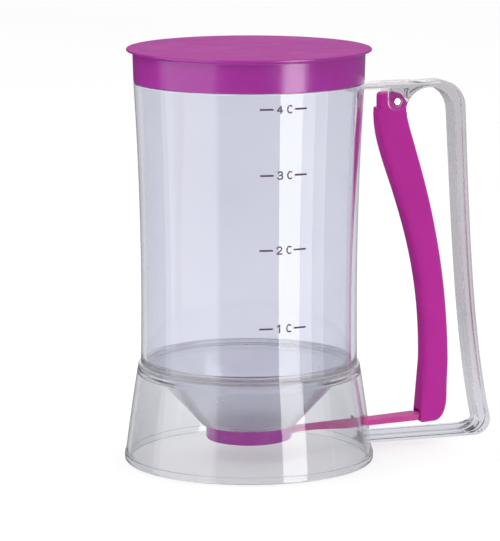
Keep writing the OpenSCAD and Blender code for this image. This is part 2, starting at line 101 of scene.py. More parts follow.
def corners(node):
    """Lowest and highest corner of a CAD node, in millimetres."""
    low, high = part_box(node)
    return low / MM, high / MM


LID_LOW, LID_HIGH = corners("lid")
CUP_LOW, CUP_HIGH = corners("cup")
SKIRT_HIGH = corners("base_skirt")[1]
HANDLE_LOW, HANDLE_HIGH = corners("handle")
CAP_LOW, CAP_HIGH = corners("valve_cap")
SEAL_LOW, SEAL_HIGH = corners("seal_ring")
PIN_LOW, PIN_HIGH = corners("pivot_pin")
SPRING_LOW, SPRING_HIGH = corners("return_spring")
TRIGGER_LOW, TRIGGER_HIGH = corners("trigger")
GATE_LOW, GATE_HIGH = corners("gate")

BOND_GAP = 0.05

# lid
FLANGE_R = LID_HIGH.x
FLANGE_OUT = 2.9
FLANGE_T = 1.8
LIP_T = 1
LID_DRAFT = 0.4
LID_WALL = 1.6
LID_FIT = 0.3
LID_SEAT_GAP = 0.2
LID_SKIRT_R = FLANGE_R - FLANGE_OUT
LID_EDGE_R = LID_SKIRT_R - LID_DRAFT
LID_BORE_R = LID_EDGE_R - LID_WALL
LID_UNDER_Z = LID_HIGH.z - FLANGE_T

# cup
LEDGE_Z = LID_LOW.z - LID_SEAT_GAP
CUP_TOP_R = CUP_HIGH.x
WAIST_R = 50.1
WAIST_Z = 76
CUP_WALL = 2.2
RIM_WALL = 1.6
RIM_R = LID_BORE_R - LID_FIT
RIM_BORE_R = RIM_R - RIM_WALL
COLLAR_H = 2
SEAT_Z = SKIRT_HIGH.z - COLLAR_H

# base skirt
BEAD_R = SKIRT_HIGH.x
BEAD_H = 3.3
BEAD_OUT = 0.5
SKIRT_LOW_R = BEAD_R - BEAD_OUT
SKIRT_BULGE = 0.25
SKIRT_WALL = 2
COLLAR_T = 1.03
SEAT_W = 1.2
SEAT_T = 1.2
SEAT_SLOPE = 1.8

# valve stack and funnel
CAP_R = CAP_HIGH.x
CAP_WALL = 1.4
CAP_BORE_R = CAP_R - CAP_WALL
CAP_FIT = 0.1
CAP_FLOOR_T = 1.4
CAP_FLOOR_Z = CAP_LOW.z + CAP_FLOOR_T
CAP_HOLE_R = 4.4
RAIL_W = 1.2
SIDE_GAP = 0.35
SLIDE_GAP = 0.1
GATE_T = 1.5
GATE_Z = CAP_FLOOR_Z + SLIDE_GAP
GATE_MID_Z = GATE_Z + GATE_T / 2
OUTLET_R = 4.6
SEAL_R = SEAL_HIGH.x
SEAL_STEP = 0.1
SEAL_BORE_R = OUTLET_R + SEAL_STEP
BOSS_STEP = 1.4
BOSS_R = SEAL_R + BOSS_STEP
NECK_Z = CUP_LOW.z
NECK_R = CAP_BORE_R - CAP_FIT
NECK_WALL = 2
SHOULDER_Z = CAP_HIGH.z + BOND_GAP
SHOULDER_W = 2.3
CONE_GAP = 1.5
FUNNEL_FLOOR_T = 2
FLOOR_Z = SHOULDER_Z + FUNNEL_FLOOR_T

# trigger
HINGE = next(j for j in frame["joints"] if j["name"] == "trigger_hinge")
PIVOT_X = HINGE["pos_m"][0] / MM
PIVOT_Z = HINGE["pos_m"][2] / MM
PIVOT = (PIVOT_X, PIVOT_Z)
SWING = radians(4.4)
PIN_R = (PIN_HIGH.x - PIN_LOW.x) / 2
PIN_FIT = 0.05
TRIGGER_W = TRIGGER_HIGH.y - TRIGGER_LOW.y
HEAD_W = 8
HEAD_BACK = 7.1
HEAD_FRONT = 5.2
HEAD_UP = 4
HEAD_STEP = 1.5
NECK_DROP = 15
STEP_DROP = 3.2
EAR_R = 4.4
EAR_GAP = 0.3
EAR_CLEAR = 1
GRIP_Z = 41
TRIGGER_REACH = 23
TRIGGER_DEPTH = 12.9
TRIGGER_HEEL = 1.2
TRIGGER_SWELL = 0.8
TRIGGER_CORNER_R = 7
TRIGGER_TOP_X = PIVOT_X - HEAD_BACK - HEAD_STEP
TRIGGER_TOP_Z = PIVOT_Z - STEP_DROP
LEVER_TOP_Z = PIVOT_Z - EAR_R - EAR_CLEAR
TRIGGER_IN_X = TRIGGER_TOP_X + TRIGGER_REACH
HEEL_X = TRIGGER_IN_X - TRIGGER_HEEL

# handle
HANDLE_W = HANDLE_HIGH.y - HANDLE_LOW.y
BAR_T = 2.9
BAR_Z = HANDLE_HIGH.z - BAR_T
CORNER_R = 13
HAND_ROOM = 28.4
GRIP_X = PIVOT_X + HAND_ROOM
GRIP_DEPTH = 6
GRIP_LEAN = 14.4
ARCH_BITE = 0.4
ARCH_R = (HAND_ROOM - EAR_R + ARCH_BITE) / 2
FOOT_Z = HANDLE_LOW.z
FOOT_T = 1.7
FOOT_FILLET = 5
FOOT_CORNER_R = 8
RIB_H = 3.6
RIB_T = 3
PIN_BOND = 0.02
PIN_RECESS = 0.6
PIN_RECESS_R = 2.2

# gate and its arm
GATE_X = GATE_LOW.x
GATE_W = GATE_HIGH.y - GATE_LOW.y
GATE_LEN = 14
GATE_CORNER_R = 2.5
ROOT_INSET = 1
PLATE_TAPER = 4
ARM_X = GATE_X + GATE_LEN
ARM_W = 8.5
ARM_TAPER = 20
ARM_INSET = 0.4
ARM_END_W = TRIGGER_W - 2 * ARM_INSET
ARM_RISE = 0.043
ARM_DEEPER = 1.2
# the underside gets deeper between these distances outside the cap, with the gate open,
# and level again between these distances from the shoulder
ARM_DEEP_FROM = (0.6, 16)
ARM_DEEP_TO = (1.5, 0.3)
SHOULDER_GAP = 0.6
WINDOW_GAP = 0.6
ARM_END_X = HEEL_X - SHOULDER_GAP
BEAD_IN = 3.6
BEAD_X = HEEL_X + BEAD_IN
BEAD_Z = GATE_MID_Z + ARM_RISE * (BEAD_X - ARM_X)
ARM_BEAD_R = 1.5
ARM_BEAD_LEN = 7.4
BEAD_INSET = 0.4
BEAD_GAP = 0.25
MOUTH_GAP = 0.75
LEVER = PIVOT_Z - BEAD_Z
TRAVEL = LEVER * SWING

# spring
WIRE_R = 0.35
COIL_GAP = 0.25
COIL_R = PIN_R + COIL_GAP + WIRE_R
COIL_TURNS = 3
COIL_PITCH = 0.9
COIL_HALF = COIL_TURNS * COIL_PITCH / 2
LEG_X = PIVOT_X - COIL_R
LEG_LEN = 12
LEG_GAP = 0.4
LEG_END_GAP = 0.8


def widening(z):
    """How far the cup has widened at a height: 0 at the waist and 1 at the ledge."""
    return ((z - WAIST_Z) / (LEDGE_Z - WAIST_Z)) ** 2


def cup_r(z):
    """Outer radius of the cup."""
    return WAIST_R + (CUP_TOP_R - WAIST_R) * widening(z)


def cup_in_r(z):
    """Inner radius of the cup."""
    waist = WAIST_R - CUP_WALL
    return waist + (RIM_BORE_R - waist) * widening(z)


SKIRT_TOP_R = cup_r(SEAT_Z) + BOND_GAP + COLLAR_T


def skirt_r(z):
    """Outer radius of the base skirt above its bead."""
    t = (z - BEAD_H) / (SKIRT_HIGH.z - BEAD_H)
    return SKIRT_LOW_R + (SKIRT_TOP_R - SKIRT_LOW_R) * t + 4 * SKIRT_BULGE * t * (1 - t)


SEAT_R = skirt_r(SEAT_Z) - SKIRT_WALL - SEAT_W
CONE_LOW_R = CAP_R + SHOULDER_W
CONE_FLARE = (SEAT_R - CONE_GAP - CONE_LOW_R) / (SEAT_Z - SHOULDER_Z)
CONE_WALL = CUP_WALL * sqrt(1 + CONE_FLARE ** 2)


def cone_r(z):
    """Outer radius of the funnel's cone."""
    return CONE_LOW_R + CONE_FLARE * (z - SHOULDER_Z)


# ---- outlines -----------------------------------------------------------------------


def span(start, end, steps):
    """Evenly spaced values from start to end, both included."""
    return [start + (end - start) * i / steps for i in range(steps + 1)]


def around(steps):
    """Evenly spaced angles once round a circle."""
    return span(0, 2 * pi, steps)[:-1]


def bezier(p0, p1, p2, p3, steps=28):
    """Points on a cubic curve."""
    points = []
    for t in span(0, 1, steps):
        s = 1 - t
        weights = (s ** 3, 3 * t * s * s, 3 * t * t * s, t ** 3)
        points.append(tuple(
            sum(w * p[k] for w, p in zip(weights, (p0, p1, p2, p3))) for k in (0, 1)))
    return points


def arc(centre, r, start, end, steps):
    """Points on an arc, angles in degrees."""
    return [(centre[0] + r * cos(radians(a)), centre[1] + r * sin(radians(a)))
            for a in span(start, end, steps)]


def with_edge(points, edge):
    """Gives every point of an outline the radius that its edge is rounded to."""
    return [(p[0], p[1], edge) for p in points]


def fillet(points, turn=12):
    """Rounds a closed outline of (u, v, radius) corners, a point per `turn` degrees."""
    made = []
    for i, (u, v, r) in enumerate(points):
        p = Vector((u, v))
        if r <= 0:
            made.append((u, v))
            continue
        a = (Vector(points[i - 1][:2]) - p).normalized()
        b = (Vector(points[(i + 1) % len(points)][:2]) - p).normalized()
        half = a.angle(b) / 2
        centre = p + (a + b).normalized() * (r / sin(half))
        spoke = p + a * (r / tan(half)) - centre
        sweep = pi - 2 * half
        if spoke.cross(p + b * (r / tan(half)) - centre) < 0:
            sweep = -sweep
        for s in span(0, sweep, max(2, ceil(degrees(abs(sweep)) / turn))):
            q = centre + Matrix.Rotation(s, 2) @ spoke
            made.append((q.x, q.y))
    return made


def inset(points, amount):
    """Moves each point of a closed outline inwards by its own amount, corners mitred."""
    n = len(points)
    area = sum(points[i - 1][0] * points[i][1] - points[i][0] * points[i - 1][1]
               for i in range(n))
    side = 1 if area > 0 else -1
    moved = []
    for i in range(n):
        p = Vector(points[i][:2])
        before = (p - Vector(points[i - 1][:2])).normalized()
        after = (Vector(points[(i + 1) % n][:2]) - p).normalized()
        a = Vector((-before.y, before.x)) * side
        b = Vector((-after.y, after.x)) * side
        q = p + (a + b) * (amount[i] / max(0.3, 1 + a.dot(b)))
        moved.append((q.x, q.y))
    return moved


# ---- meshes -------------------------------------------------------------------------


def placed(name, bm):
    """An object of the scene, made of a bmesh."""
    mesh = bpy.data.meshes.new(name)
    bm.to_mesh(mesh)
    bm.free()
    piece = bpy.data.objects.new(name, mesh)
    scene.collection.objects.link(piece)
    return piece


def skin(name, rings, closed=False):
    """A mesh over rings of points in millimetres, capped at both ends unless closed."""
    bm = bmesh.new()
    loops = [[bm.verts.new(Vector(p) * MM) for p in ring] for ring in rings]
    for a, b in zip(loops, loops[1:] + loops[:1] if closed else loops[1:]):
        for i in range(len(a)):
            bm.faces.new((a[i - 1], a[i], b[i], b[i - 1]))
    if not closed:
        bm.faces.new(loops[0])
        bm.faces.new(loops[-1][::-1])
    bmesh.ops.remove_doubles(bm, verts=bm.verts, dist=TINY)
    bmesh.ops.recalc_face_normals(bm, faces=bm.faces)
    return placed(name, bm)


def lathe(name, outline, turns=192):
    """A closed (r, z) outline turned round the Z axis."""
    return skin(name, [[(r * cos(a), r * sin(a), z) for r, z in outline]
                       for a in around(turns)], closed=True)


def slab(name, outline, width, steps=5):
    """A closed outline of (x, z, edge radius) points, given a width centred on Y.
    Each edge is rounded to its radius."""
    rings = []
    for side in (-1, 1):
        turn = []
        for a in span(0, pi / 2, steps):
            moved = inset(outline, [p[2] * (1 - sin(a)) for p in outline])
            turn.append([(x, side * (width / 2 - p[2] * (1 - cos(a))), z)
                         for (x, z), p in zip(moved, outline)])
        rings += turn if side < 0 else turn[::-1]
    return skin(name, rings)


def bisect(bm, axis, places):
    """Splits a mesh's faces along planes across an axis, at places in millimetres."""
    for place in places:
        bmesh.ops.bisect_plane(bm, geom=[*bm.verts, *bm.edges, *bm.faces], dist=TINY,
                               plane_co=[c * place * MM for c in axis], plane_no=axis)


def draw_in(piece, top, drop, half, steps=14, clear=0.01):
    """Draws in what lies further than `half` from the XZ plane, all but fully at the top
    and not at all below the drop. What lies above the top stays as it is."""
    bm = bmesh.new()
    bm.from_mesh(piece.data)
    bisect(bm, (0, 0, 1), [z - clear for z in span(top, top - drop, steps)])
    for vert in bm.verts:
        over = abs(vert.co.y) - half * MM
        part = min(1, max(0, (top - vert.co.z / MM) / drop))
        if over > 0 and vert.co.z < (top + clear) * MM:
            over *= max(0.01, part * part * (3 - 2 * part))
            vert.co.y = copysign(half * MM + over, vert.co.y)
    bmesh.ops.triangulate(bm, faces=[f for f in bm.faces if len(f.verts) > 4])
    bm.to_mesh(piece.data)
    bm.free()


def block(low, high):
    """A plain box that cuts another piece, or joins it."""
    (x0, y0, z0), (x1, y1, z1) = low, high
    return skin("cutter", [[(x0, y0, z), (x1, y0, z), (x1, y1, z), (x0, y1, z)]
                           for z in (z0, z1)])


def rod(centre, r, y0, y1, bevel=0.0, turns=64, name="cutter"):
    """A round bar along Y, with its ends bevelled."""
    ends = [(y0, r - bevel), (y0 + bevel, r), (y1 - bevel, r), (y1, r - bevel)]
    if not bevel:
        ends = [(y0, r), (y1, r)]
    return skin(name, [[(centre[0] + s * cos(a), y, centre[1] + s * sin(a))
                        for a in around(turns)] for y, s in ends])


def bake(piece):
    """Makes what the modifiers show into the piece's own mesh."""
    shown = piece.evaluated_get(bpy.context.evaluated_depsgraph_get())
    mesh = bpy.data.meshes.new_from_object(shown)
    piece.modifiers.clear()
    piece.data = mesh


def combine(piece, operation, *others):
    """Cuts the others out of the piece, or joins them to it, and removes them."""
    for other in others:
        step = piece.modifiers.new("combine", "BOOLEAN")
        step.operation = operation
        step.solver = "EXACT"
        step.object = other
    bpy.context.view_layer.update()
    bake(piece)
    for other in others:
        bpy.data.objects.remove(other)


def smooth(piece, sharp=32):
    """Smooth shading, with creases where faces meet at more than `sharp` degrees. Loose
    edges that a cut or an axis left behind go."""
    bm = bmesh.new()
    bm.from_mesh(piece.data)
    bmesh.ops.dissolve_degenerate(bm, edges=bm.edges, dist=TINY)
    loose = [edge for edge in bm.edges if not edge.link_faces]
    bmesh.ops.delete(bm, geom=loose, context="EDGES")
    for face in bm.faces:
        face.smooth = True
    for edge in bm.edges:
        edge.smooth = edge.calc_face_angle(0) < radians(sharp)
    bm.to_mesh(piece.data)
    bm.free()
    weigh = piece.modifiers.new("weigh", "WEIGHTED_NORMAL")
    weigh.keep_sharp = True
    bake(piece)


def finish_piece(piece, material, slot, body, *nodes):
    """Shades a piece, paints it and hangs it on its body in place of the CAD nodes."""
    smooth(piece)
    piece.data.materials.clear()
    piece.data.materials.append(material)
    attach(piece, body)
    if nodes:
        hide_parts(*nodes)


def repaint(piece, material, chosen):
    """Gives a second material to the faces that `chosen` picks."""
    piece.data.materials.append(material)
    for face in piece.data.polygons:
        face.material_index = int(chosen(face))


# ---- pieces: clear mouldings --------------------------------------------------------


def cup_space(steps=40):
    """The space that the cup fills, with the bond's gap round it."""
    low = SEAT_Z - BOND_GAP
    return lathe("cutter", [(0, low)]
                 + [(cup_r(z) + BOND_GAP, z) for z in span(low, LEDGE_Z, steps)]
                 + [(0, LEDGE_Z)])


def skirt_space(steps=20):
    """The space that the base skirt fills, with the bond's gap round it."""
    return lathe("cutter", [(0, -1), (BEAD_R + BOND_GAP, -1), (BEAD_R + BOND_GAP, BEAD_H)]
                 + [(skirt_r(z) + BOND_GAP, z) for z in span(BEAD_H, SKIRT_HIGH.z, steps)]
                 + [(0, SKIRT_HIGH.z)])


def cup_moulding(material, frosted, steps=44):
    """Cup wall, ledge and rim, funnel cone, floor, outlet boss and neck. The funnel's
    slopes and flats are of the frosted material."""
    neck_in_r = NECK_R - NECK_WALL
    cone_in = cone_r(SEAT_Z) - CONE_WALL
    foot_z = SEAT_Z + (cup_in_r(SEAT_Z) - cone_in) / CONE_FLARE
    outline = [(OUTLET_R, NECK_Z, 0.2), (BOSS_R, NECK_Z, 0.3), (BOSS_R, SHOULDER_Z, 0.3),
               (neck_in_r, SHOULDER_Z, 0.3), (neck_in_r, NECK_Z, 0.3),
               (NECK_R, NECK_Z, 0.3), (NECK_R, SHOULDER_Z, 0.2),
               (CONE_LOW_R, SHOULDER_Z, 1), (cone_r(SEAT_Z), SEAT_Z, 0.6)]
    wall = [(cup_r(z), z, 0) for z in span(SEAT_Z, LEDGE_Z, steps)]
    wall[0] = (cup_r(SEAT_Z), SEAT_Z, 0.4)
    wall[-1] = (CUP_TOP_R, LEDGE_Z, 0.5)
    outline += wall
    outline += [(RIM_R, LEDGE_Z, 0.3), (RIM_R, CUP_HIGH.z, 0.5),
                (RIM_BORE_R, CUP_HIGH.z, 0.5)]
    outline += [(cup_in_r(z), z, 0) for z in span(LEDGE_Z, foot_z, steps)]
    outline[-1] = (cup_in_r(foot_z), foot_z, 3)
    outline += [(cone_r(FLOOR_Z) - CONE_WALL, FLOOR_Z, 2), (OUTLET_R, FLOOR_Z, 0.8)]
    piece = lathe("cup_moulding", fillet(outline))
    piece.visible_shadow = False
    finish_piece(piece, material, "clear_body", "pitcher", "cup")
    repaint(piece, frosted, lambda face: face.center.z < (foot_z - 0.5) * MM
            and face.normal.z ** 2 > 0.1)


def skirt_moulding(material, steps=16):
    """Flared skirt with its foot bead, the collar and ledge that carry the cup, and the
    window for the arm."""
    seat_low = SEAT_Z - BOND_GAP - SEAT_T
    slope_z = seat_low - SEAT_SLOPE
    collar_r = cup_r(SEAT_Z) + BOND_GAP
    outline = [(SKIRT_LOW_R - SKIRT_WALL, 0, 0.5), (BEAD_R, 0, 0.7),
               (BEAD_R, BEAD_H, 0.45)]
    outline += [(skirt_r(z), z, 0) for z in span(BEAD_H, SKIRT_HIGH.z, steps)]
    outline[-1] = (SKIRT_TOP_R, SKIRT_HIGH.z, 0.4)
    outline += [(collar_r, SKIRT_HIGH.z, 0.25), (collar_r, SEAT_Z - BOND_GAP, 0.1),
                (SEAT_R, SEAT_Z - BOND_GAP, 0.3), (SEAT_R, seat_low, 0.3)]
    outline += [(skirt_r(z) - SKIRT_WALL, z, 0) for z in span(slope_z, BEAD_H, steps)]
    piece = lathe("skirt_moulding", fillet(outline))
    window_x = skirt_r(GATE_MID_Z)
    low_z = (GATE_MID_Z + ARM_RISE * (window_x - SKIRT_WALL - ARM_X) - GATE_T / 2
             - ARM_DEEPER - WINDOW_GAP)
    high_z = GATE_MID_Z + ARM_RISE * (window_x + TRAVEL - ARM_X) + GATE_T / 2 + WINDOW_GAP
    half = ARM_W / 2 + 2 * WINDOW_GAP
    combine(piece, "DIFFERENCE", block((CAP_R, -half, low_z), (BEAD_R + 1, half, high_z)))
    piece.visible_shadow = False
    finish_piece(piece, material, "clear_skirt", "pitcher", "base_skirt")


def foot_bow(low, top):
    """The curve from the top of the foot, or of its rib, up to the grip at `low`."""
    return bezier((low[0] - 1.6 * FOOT_FILLET, top),
                  (low[0] - 0.7 * FOOT_FILLET, top + 0.1 * FOOT_FILLET),
                  (low[0] - 0.12 * FOOT_FILLET, top + 0.5 * FOOT_FILLET), low, 8)


def handle_outline():
    """Top bar, corner, grip and foot, then back up the grip's inner face, round the arch
    and the ear, as (x, z, edge radius)."""
    arch = (GRIP_X - ARCH_R, BAR_Z - ARCH_R - 0.1)
    low = (GRIP_X + GRIP_LEAN, FOOT_Z + FOOT_T + FOOT_FILLET)
    fall = arch[1] - low[1]
    corner = (GRIP_X + GRIP_DEPTH - CORNER_R, HANDLE_HIGH.z - CORNER_R)
    outer = bezier((GRIP_X + GRIP_DEPTH, corner[1]),
                   (GRIP_X + GRIP_DEPTH + 0.167 * GRIP_LEAN, arch[1] - 0.31 * fall),
                   (GRIP_X + GRIP_DEPTH + 0.32 * GRIP_LEAN, arch[1] - 0.715 * fall),
                   (low[0] + GRIP_DEPTH, low[1] + 0.32 * FOOT_FILLET))
    inner = bezier((GRIP_X, arch[1]),
                   (GRIP_X + 0.2 * GRIP_LEAN, arch[1] - 0.31 * fall),
                   (GRIP_X + 0.36 * GRIP_LEAN, arch[1] - 0.715 * fall), low)
    foot = (low[0] + GRIP_DEPTH - FOOT_CORNER_R, FOOT_Z + FOOT_CORNER_R)
    foot_top = FOOT_Z + FOOT_T
    grip = arc(corner, CORNER_R, 90, 0, 18) + outer[1:]
    heel = arc(foot, FOOT_CORNER_R, 0, -90, 10)[1:]
    bow = foot_bow(low, foot_top)
    ear = arc(PIVOT, EAR_R, -38, -180, 16)
    return (with_edge([(0, HANDLE_HIGH.z)], 0.9) + with_edge(grip, 1.2)
            + with_edge(heel, 0.6) + with_edge([(0, FOOT_Z), (0, foot_top)], 0.6)
            + with_edge(bow[:-1], 0.6) + with_edge(inner[::-1], 1.2)
            + with_edge(arc(arch, ARCH_R, 0, 165, 30)[1:], 1) + with_edge(ear, 0.6)
            + with_edge([(PIVOT_X - EAR_R, BAR_Z), (0, BAR_Z)], 0.6))


def foot_rib():
    """The rib that stands on the foot and runs up into the grip."""
    low = (GRIP_X + GRIP_LEAN, FOOT_Z + FOOT_T + FOOT_FILLET + RIB_H)
    top = FOOT_Z + FOOT_T + RIB_H
    outline = [(0, FOOT_Z + 0.5), (low[0] + GRIP_DEPTH / 2, FOOT_Z + 0.5),
               (low[0] + GRIP_DEPTH / 2, low[1]), *foot_bow(low, top)[::-1], (0, top)]
    return slab("rib", with_edge(outline, 0.5), RIB_T)


def handle_moulding(material, pale):
    """Clear side handle in one piece, shaped to the cup and the skirt where it is bonded.
    Its grip and foot have a grey tint of painted shade, paler towards the floor, and its
    top bar and ears are of the pale material, painted lighter so that the trigger's head
    seen through the ears is not shaded."""
    piece = slab("handle_moulding", handle_outline(), HANDLE_W)
    combine(piece, "UNION", foot_rib())
    half = HEAD_W / 2 + EAR_GAP
    slot = block((PIVOT_X - EAR_R - 1, -half, PIVOT_Z - EAR_R - 1),
                 (PIVOT_X + HEAD_FRONT + EAR_CLEAR, half, BAR_Z))
    combine(piece, "DIFFERENCE", cup_space(), skirt_space(), slot,
            rod(PIVOT, PIN_R + PIN_BOND, -HANDLE_W, HANDLE_W),
            rod(PIVOT, PIN_RECESS_R, -HANDLE_W, PIN_RECESS - HANDLE_W / 2))
    piece.visible_shadow = piece.visible_diffuse = False
    finish_piece(piece, material, "clear_handle", "pitcher", "handle")
    # the top bar and ears get the pale copy, painted lighter so that the trigger's head
    # behind them is not shaded
    repaint(piece, pale, lambda face: face.center.x < (PIVOT_X + EAR_R) * MM
            and face.center.z > SKIRT_HIGH.z * MM)


# ---- pieces: purple and pink mouldings ----------------------------------------------


def lid_moulding(material, top_painted_lighter):
    """Flat push-on lid: overhanging flange, slightly flared skirt and bore. Its flat top
    has a material of its own: a satin finish in the same purple, painted lighter than
    the skirt as painted light from above."""
    outline = [(0, LID_UNDER_Z, 0), (LID_BORE_R, LID_UNDER_Z, 0.4),
               (LID_BORE_R, LID_LOW.z, 0.3), (LID_EDGE_R, LID_LOW.z, 0.5),
               (LID_SKIRT_R, LID_UNDER_Z, 0.8), (FLANGE_R, LID_HIGH.z - LIP_T, 0.35),
               (FLANGE_R, LID_HIGH.z, 0.5), (0, LID_HIGH.z, 0)]
    piece = lathe("lid_moulding", fillet(outline, 10))
    finish_piece(piece, material, "purple_lid", "lid", "lid")
    # the flat top gets the satin material whose purple is painted lighter, as painted
    # light from above
    repaint(piece, top_painted_lighter, lambda face: face.center.z > (LID_HIGH.z - 0.3) * MM)


def valve_cap_moulding(material):
    """Round cap under the funnel: outlet hole, guide rails and the slot for the gate."""
    outline = [(CAP_HOLE_R, CAP_LOW.z, 0.5), (CAP_R, CAP_LOW.z, 1),
               (CAP_R, CAP_HIGH.z, 0.5), (CAP_BORE_R, CAP_HIGH.z, 0.3),
               (CAP_BORE_R, CAP_FLOOR_Z, 0.4), (CAP_HOLE_R, CAP_FLOOR_Z, 0.3)]
    piece = lathe("valve_cap_moulding", fillet(outline), 144)
    half = GATE_W / 2 + SIDE_GAP
    rail_x = sqrt((CAP_BORE_R - SIDE_GAP) ** 2 - (half + RAIL_W) ** 2)
    rails = [block((-rail_x, y, CAP_FLOOR_Z - 0.2), (rail_x, y + RAIL_W, GATE_Z + GATE_T))
             for y in (half, -half - RAIL_W)]
    combine(piece, "UNION", *rails)
    slot = block((0, -half, CAP_FLOOR_Z), (CAP_R + 2, half, NECK_Z - 0.45))
    combine(piece, "DIFFERENCE", slot)
    finish_piece(piece, material, "purple_cap", "pitcher", "valve_cap")


def trigger_curves():
    """The lever's two long edges, towards the cup and towards the grip."""
    fall = TRIGGER_TOP_Z - GRIP_Z
    inner = bezier((TRIGGER_TOP_X, TRIGGER_TOP_Z),
                   (TRIGGER_TOP_X, TRIGGER_TOP_Z - 0.25 * fall),
                   (TRIGGER_IN_X + 0.027 * TRIGGER_REACH, TRIGGER_TOP_Z - 0.47 * fall),
                   (TRIGGER_IN_X, GRIP_Z), 40)
    outer = bezier((PIVOT_X + 0.94 * HEAD_FRONT, TRIGGER_TOP_Z),
                   (PIVOT_X + 1.08 * HEAD_FRONT, TRIGGER_TOP_Z - 0.13 * fall),
                   (TRIGGER_IN_X + 0.894 * TRIGGER_DEPTH, TRIGGER_TOP_Z - 0.42 * fall),
                   (TRIGGER_IN_X + TRIGGER_DEPTH, GRIP_Z), 40)
    return inner, outer


def lever_edge(x, z):
    """The radius of the lever's edges: sharp at its top, small at the heel, and fuller
    further down."""
    if z > LEVER_TOP_Z - 1:
        return 0.2
    if x < HEEL_X + 3 and z < TRIGGER_LOW.z + 8:
        return 0.8
    return min(2.4, 0.7 + (LEVER_TOP_Z - z) * 0.03)


def facing_edge(z):
    """The radius along the edge towards the cup, which is smaller at both ends."""
    return min(3.8, 0.2 + (LEVER_TOP_Z - z) * 0.1, 1 + (z - TRIGGER_LOW.z) * 0.12)


def trigger_lever():
    """The lever below its head, down to the rounded lower corner and the heel."""
    inner, outer = ([p for p in curve if p[1] < LEVER_TOP_Z - 1.5]
                    for curve in trigger_curves())
    low = TRIGGER_LOW.z
    out_x = HEEL_X + TRIGGER_DEPTH + TRIGGER_SWELL
    corner = bezier((out_x, low + 1.8 * TRIGGER_CORNER_R),
                    (out_x, low + 0.6 * TRIGGER_CORNER_R),
                    (out_x - 0.4 * TRIGGER_CORNER_R, low),
                    (out_x - TRIGGER_CORNER_R, low), 14)
    swell = bezier(outer[-1], (outer[-1][0] + 0.05, GRIP_Z - 4), (out_x, GRIP_Z - 8),
                   (out_x, low + 2 * TRIGGER_CORNER_R), 8)
    outline = fillet([(TRIGGER_TOP_X + 0.02, LEVER_TOP_Z, 0.2),
                      (outer[0][0], LEVER_TOP_Z, 0.2),
                      (*outer[0], 0), (*inner[0], 0)])[:-2]
    outline += outer + swell[1:] + corner
    outline += fillet([(HEEL_X + 2, low, 0), (HEEL_X, low, 1.1),
                       (HEEL_X, low + 3, 0)])[1:]
    lower = [(x, z, lever_edge(x, z)) for x, z in outline]
    facing = [(x, z, facing_edge(z)) for x, z in inner[::-1]]
    return slab("trigger_moulding", lower + facing, TRIGGER_W, 8)


def trigger_head():
    """The narrower head between the ears, with its root inside the lever."""
    top = PIVOT_Z + HEAD_UP
    front = PIVOT_X + HEAD_FRONT
    back = PIVOT_X - HEAD_BACK
    root = TRIGGER_TOP_Z - 8
    outline = [(back + 1.4, root, 0), (TRIGGER_TOP_X + 1.2, LEVER_TOP_Z - 1, 0),
               (TRIGGER_TOP_X, LEVER_TOP_Z, 0.4), (TRIGGER_TOP_X, TRIGGER_TOP_Z, 0.5),
               (back, TRIGGER_TOP_Z + 0.3, 0.3), (back, top, 1.9),
               (PIVOT_X + 1.9, top, 3.2), (front, PIVOT_Z - 0.6, 3.2),
               (front, TRIGGER_TOP_Z, 0), (front, LEVER_TOP_Z, 0.3), (front - 2, root, 0)]
    return slab("head", with_edge(fillet(outline), 0.5), HEAD_W)


def socket_drop():
    """How far the socket drops while the gate closes."""
    reach = sqrt((BEAD_X - PIVOT_X) ** 2 + LEVER ** 2)
    lean = atan((BEAD_X - PIVOT_X) / LEVER)
    return reach * (cos(lean - SWING) - cos(lean))


def trigger_moulding(material):
    """Purple lever with its head, the spring's pocket and the socket for the bead."""
    piece = trigger_lever()
    combine(piece, "UNION", trigger_head())
    room = WIRE_R + LEG_GAP
    coil_half = COIL_HALF + room
    # the round room for the coil is a little longer, so that no faces coincide
    coil_end = coil_half + 0.04
    leg_swing = (LEG_LEN + 1) * sin(SWING)
    leg_end_z = PIVOT_Z - (LEG_LEN + LEG_END_GAP)
    top = PIVOT_Z + HEAD_UP + 1
    half = ARM_BEAD_LEN / 2 + MOUTH_GAP / 2
    deep = ARM_BEAD_R + BEAD_GAP
    tall = ARM_BEAD_R + MOUTH_GAP / 2
    drop = socket_drop()
    combine(piece, "DIFFERENCE",
            rod(PIVOT, PIN_R + PIN_FIT, -TRIGGER_W, TRIGGER_W),
            rod(PIVOT, COIL_R + room, -coil_end, coil_end),
            block((LEG_X - room, -coil_half, leg_end_z),
                  (LEG_X + room + leg_swing, coil_half, PIVOT_Z)),
            block((LEG_X - room, -coil_half, PIVOT_Z), (PIVOT_X, coil_half, top)),
            block((BEAD_X - deep, -half, BEAD_Z - tall),
                  (BEAD_X + deep, half, BEAD_Z + tall + drop)),
            block((HEEL_X - 1, -half, BEAD_Z - ARM_BEAD_R),
                  (BEAD_X, half, BEAD_Z + ARM_BEAD_R + drop)))
    draw_in(piece, LEVER_TOP_Z, NECK_DROP, HEAD_W / 2)
    finish_piece(piece, material, "purple_trigger", "trigger", "trigger")


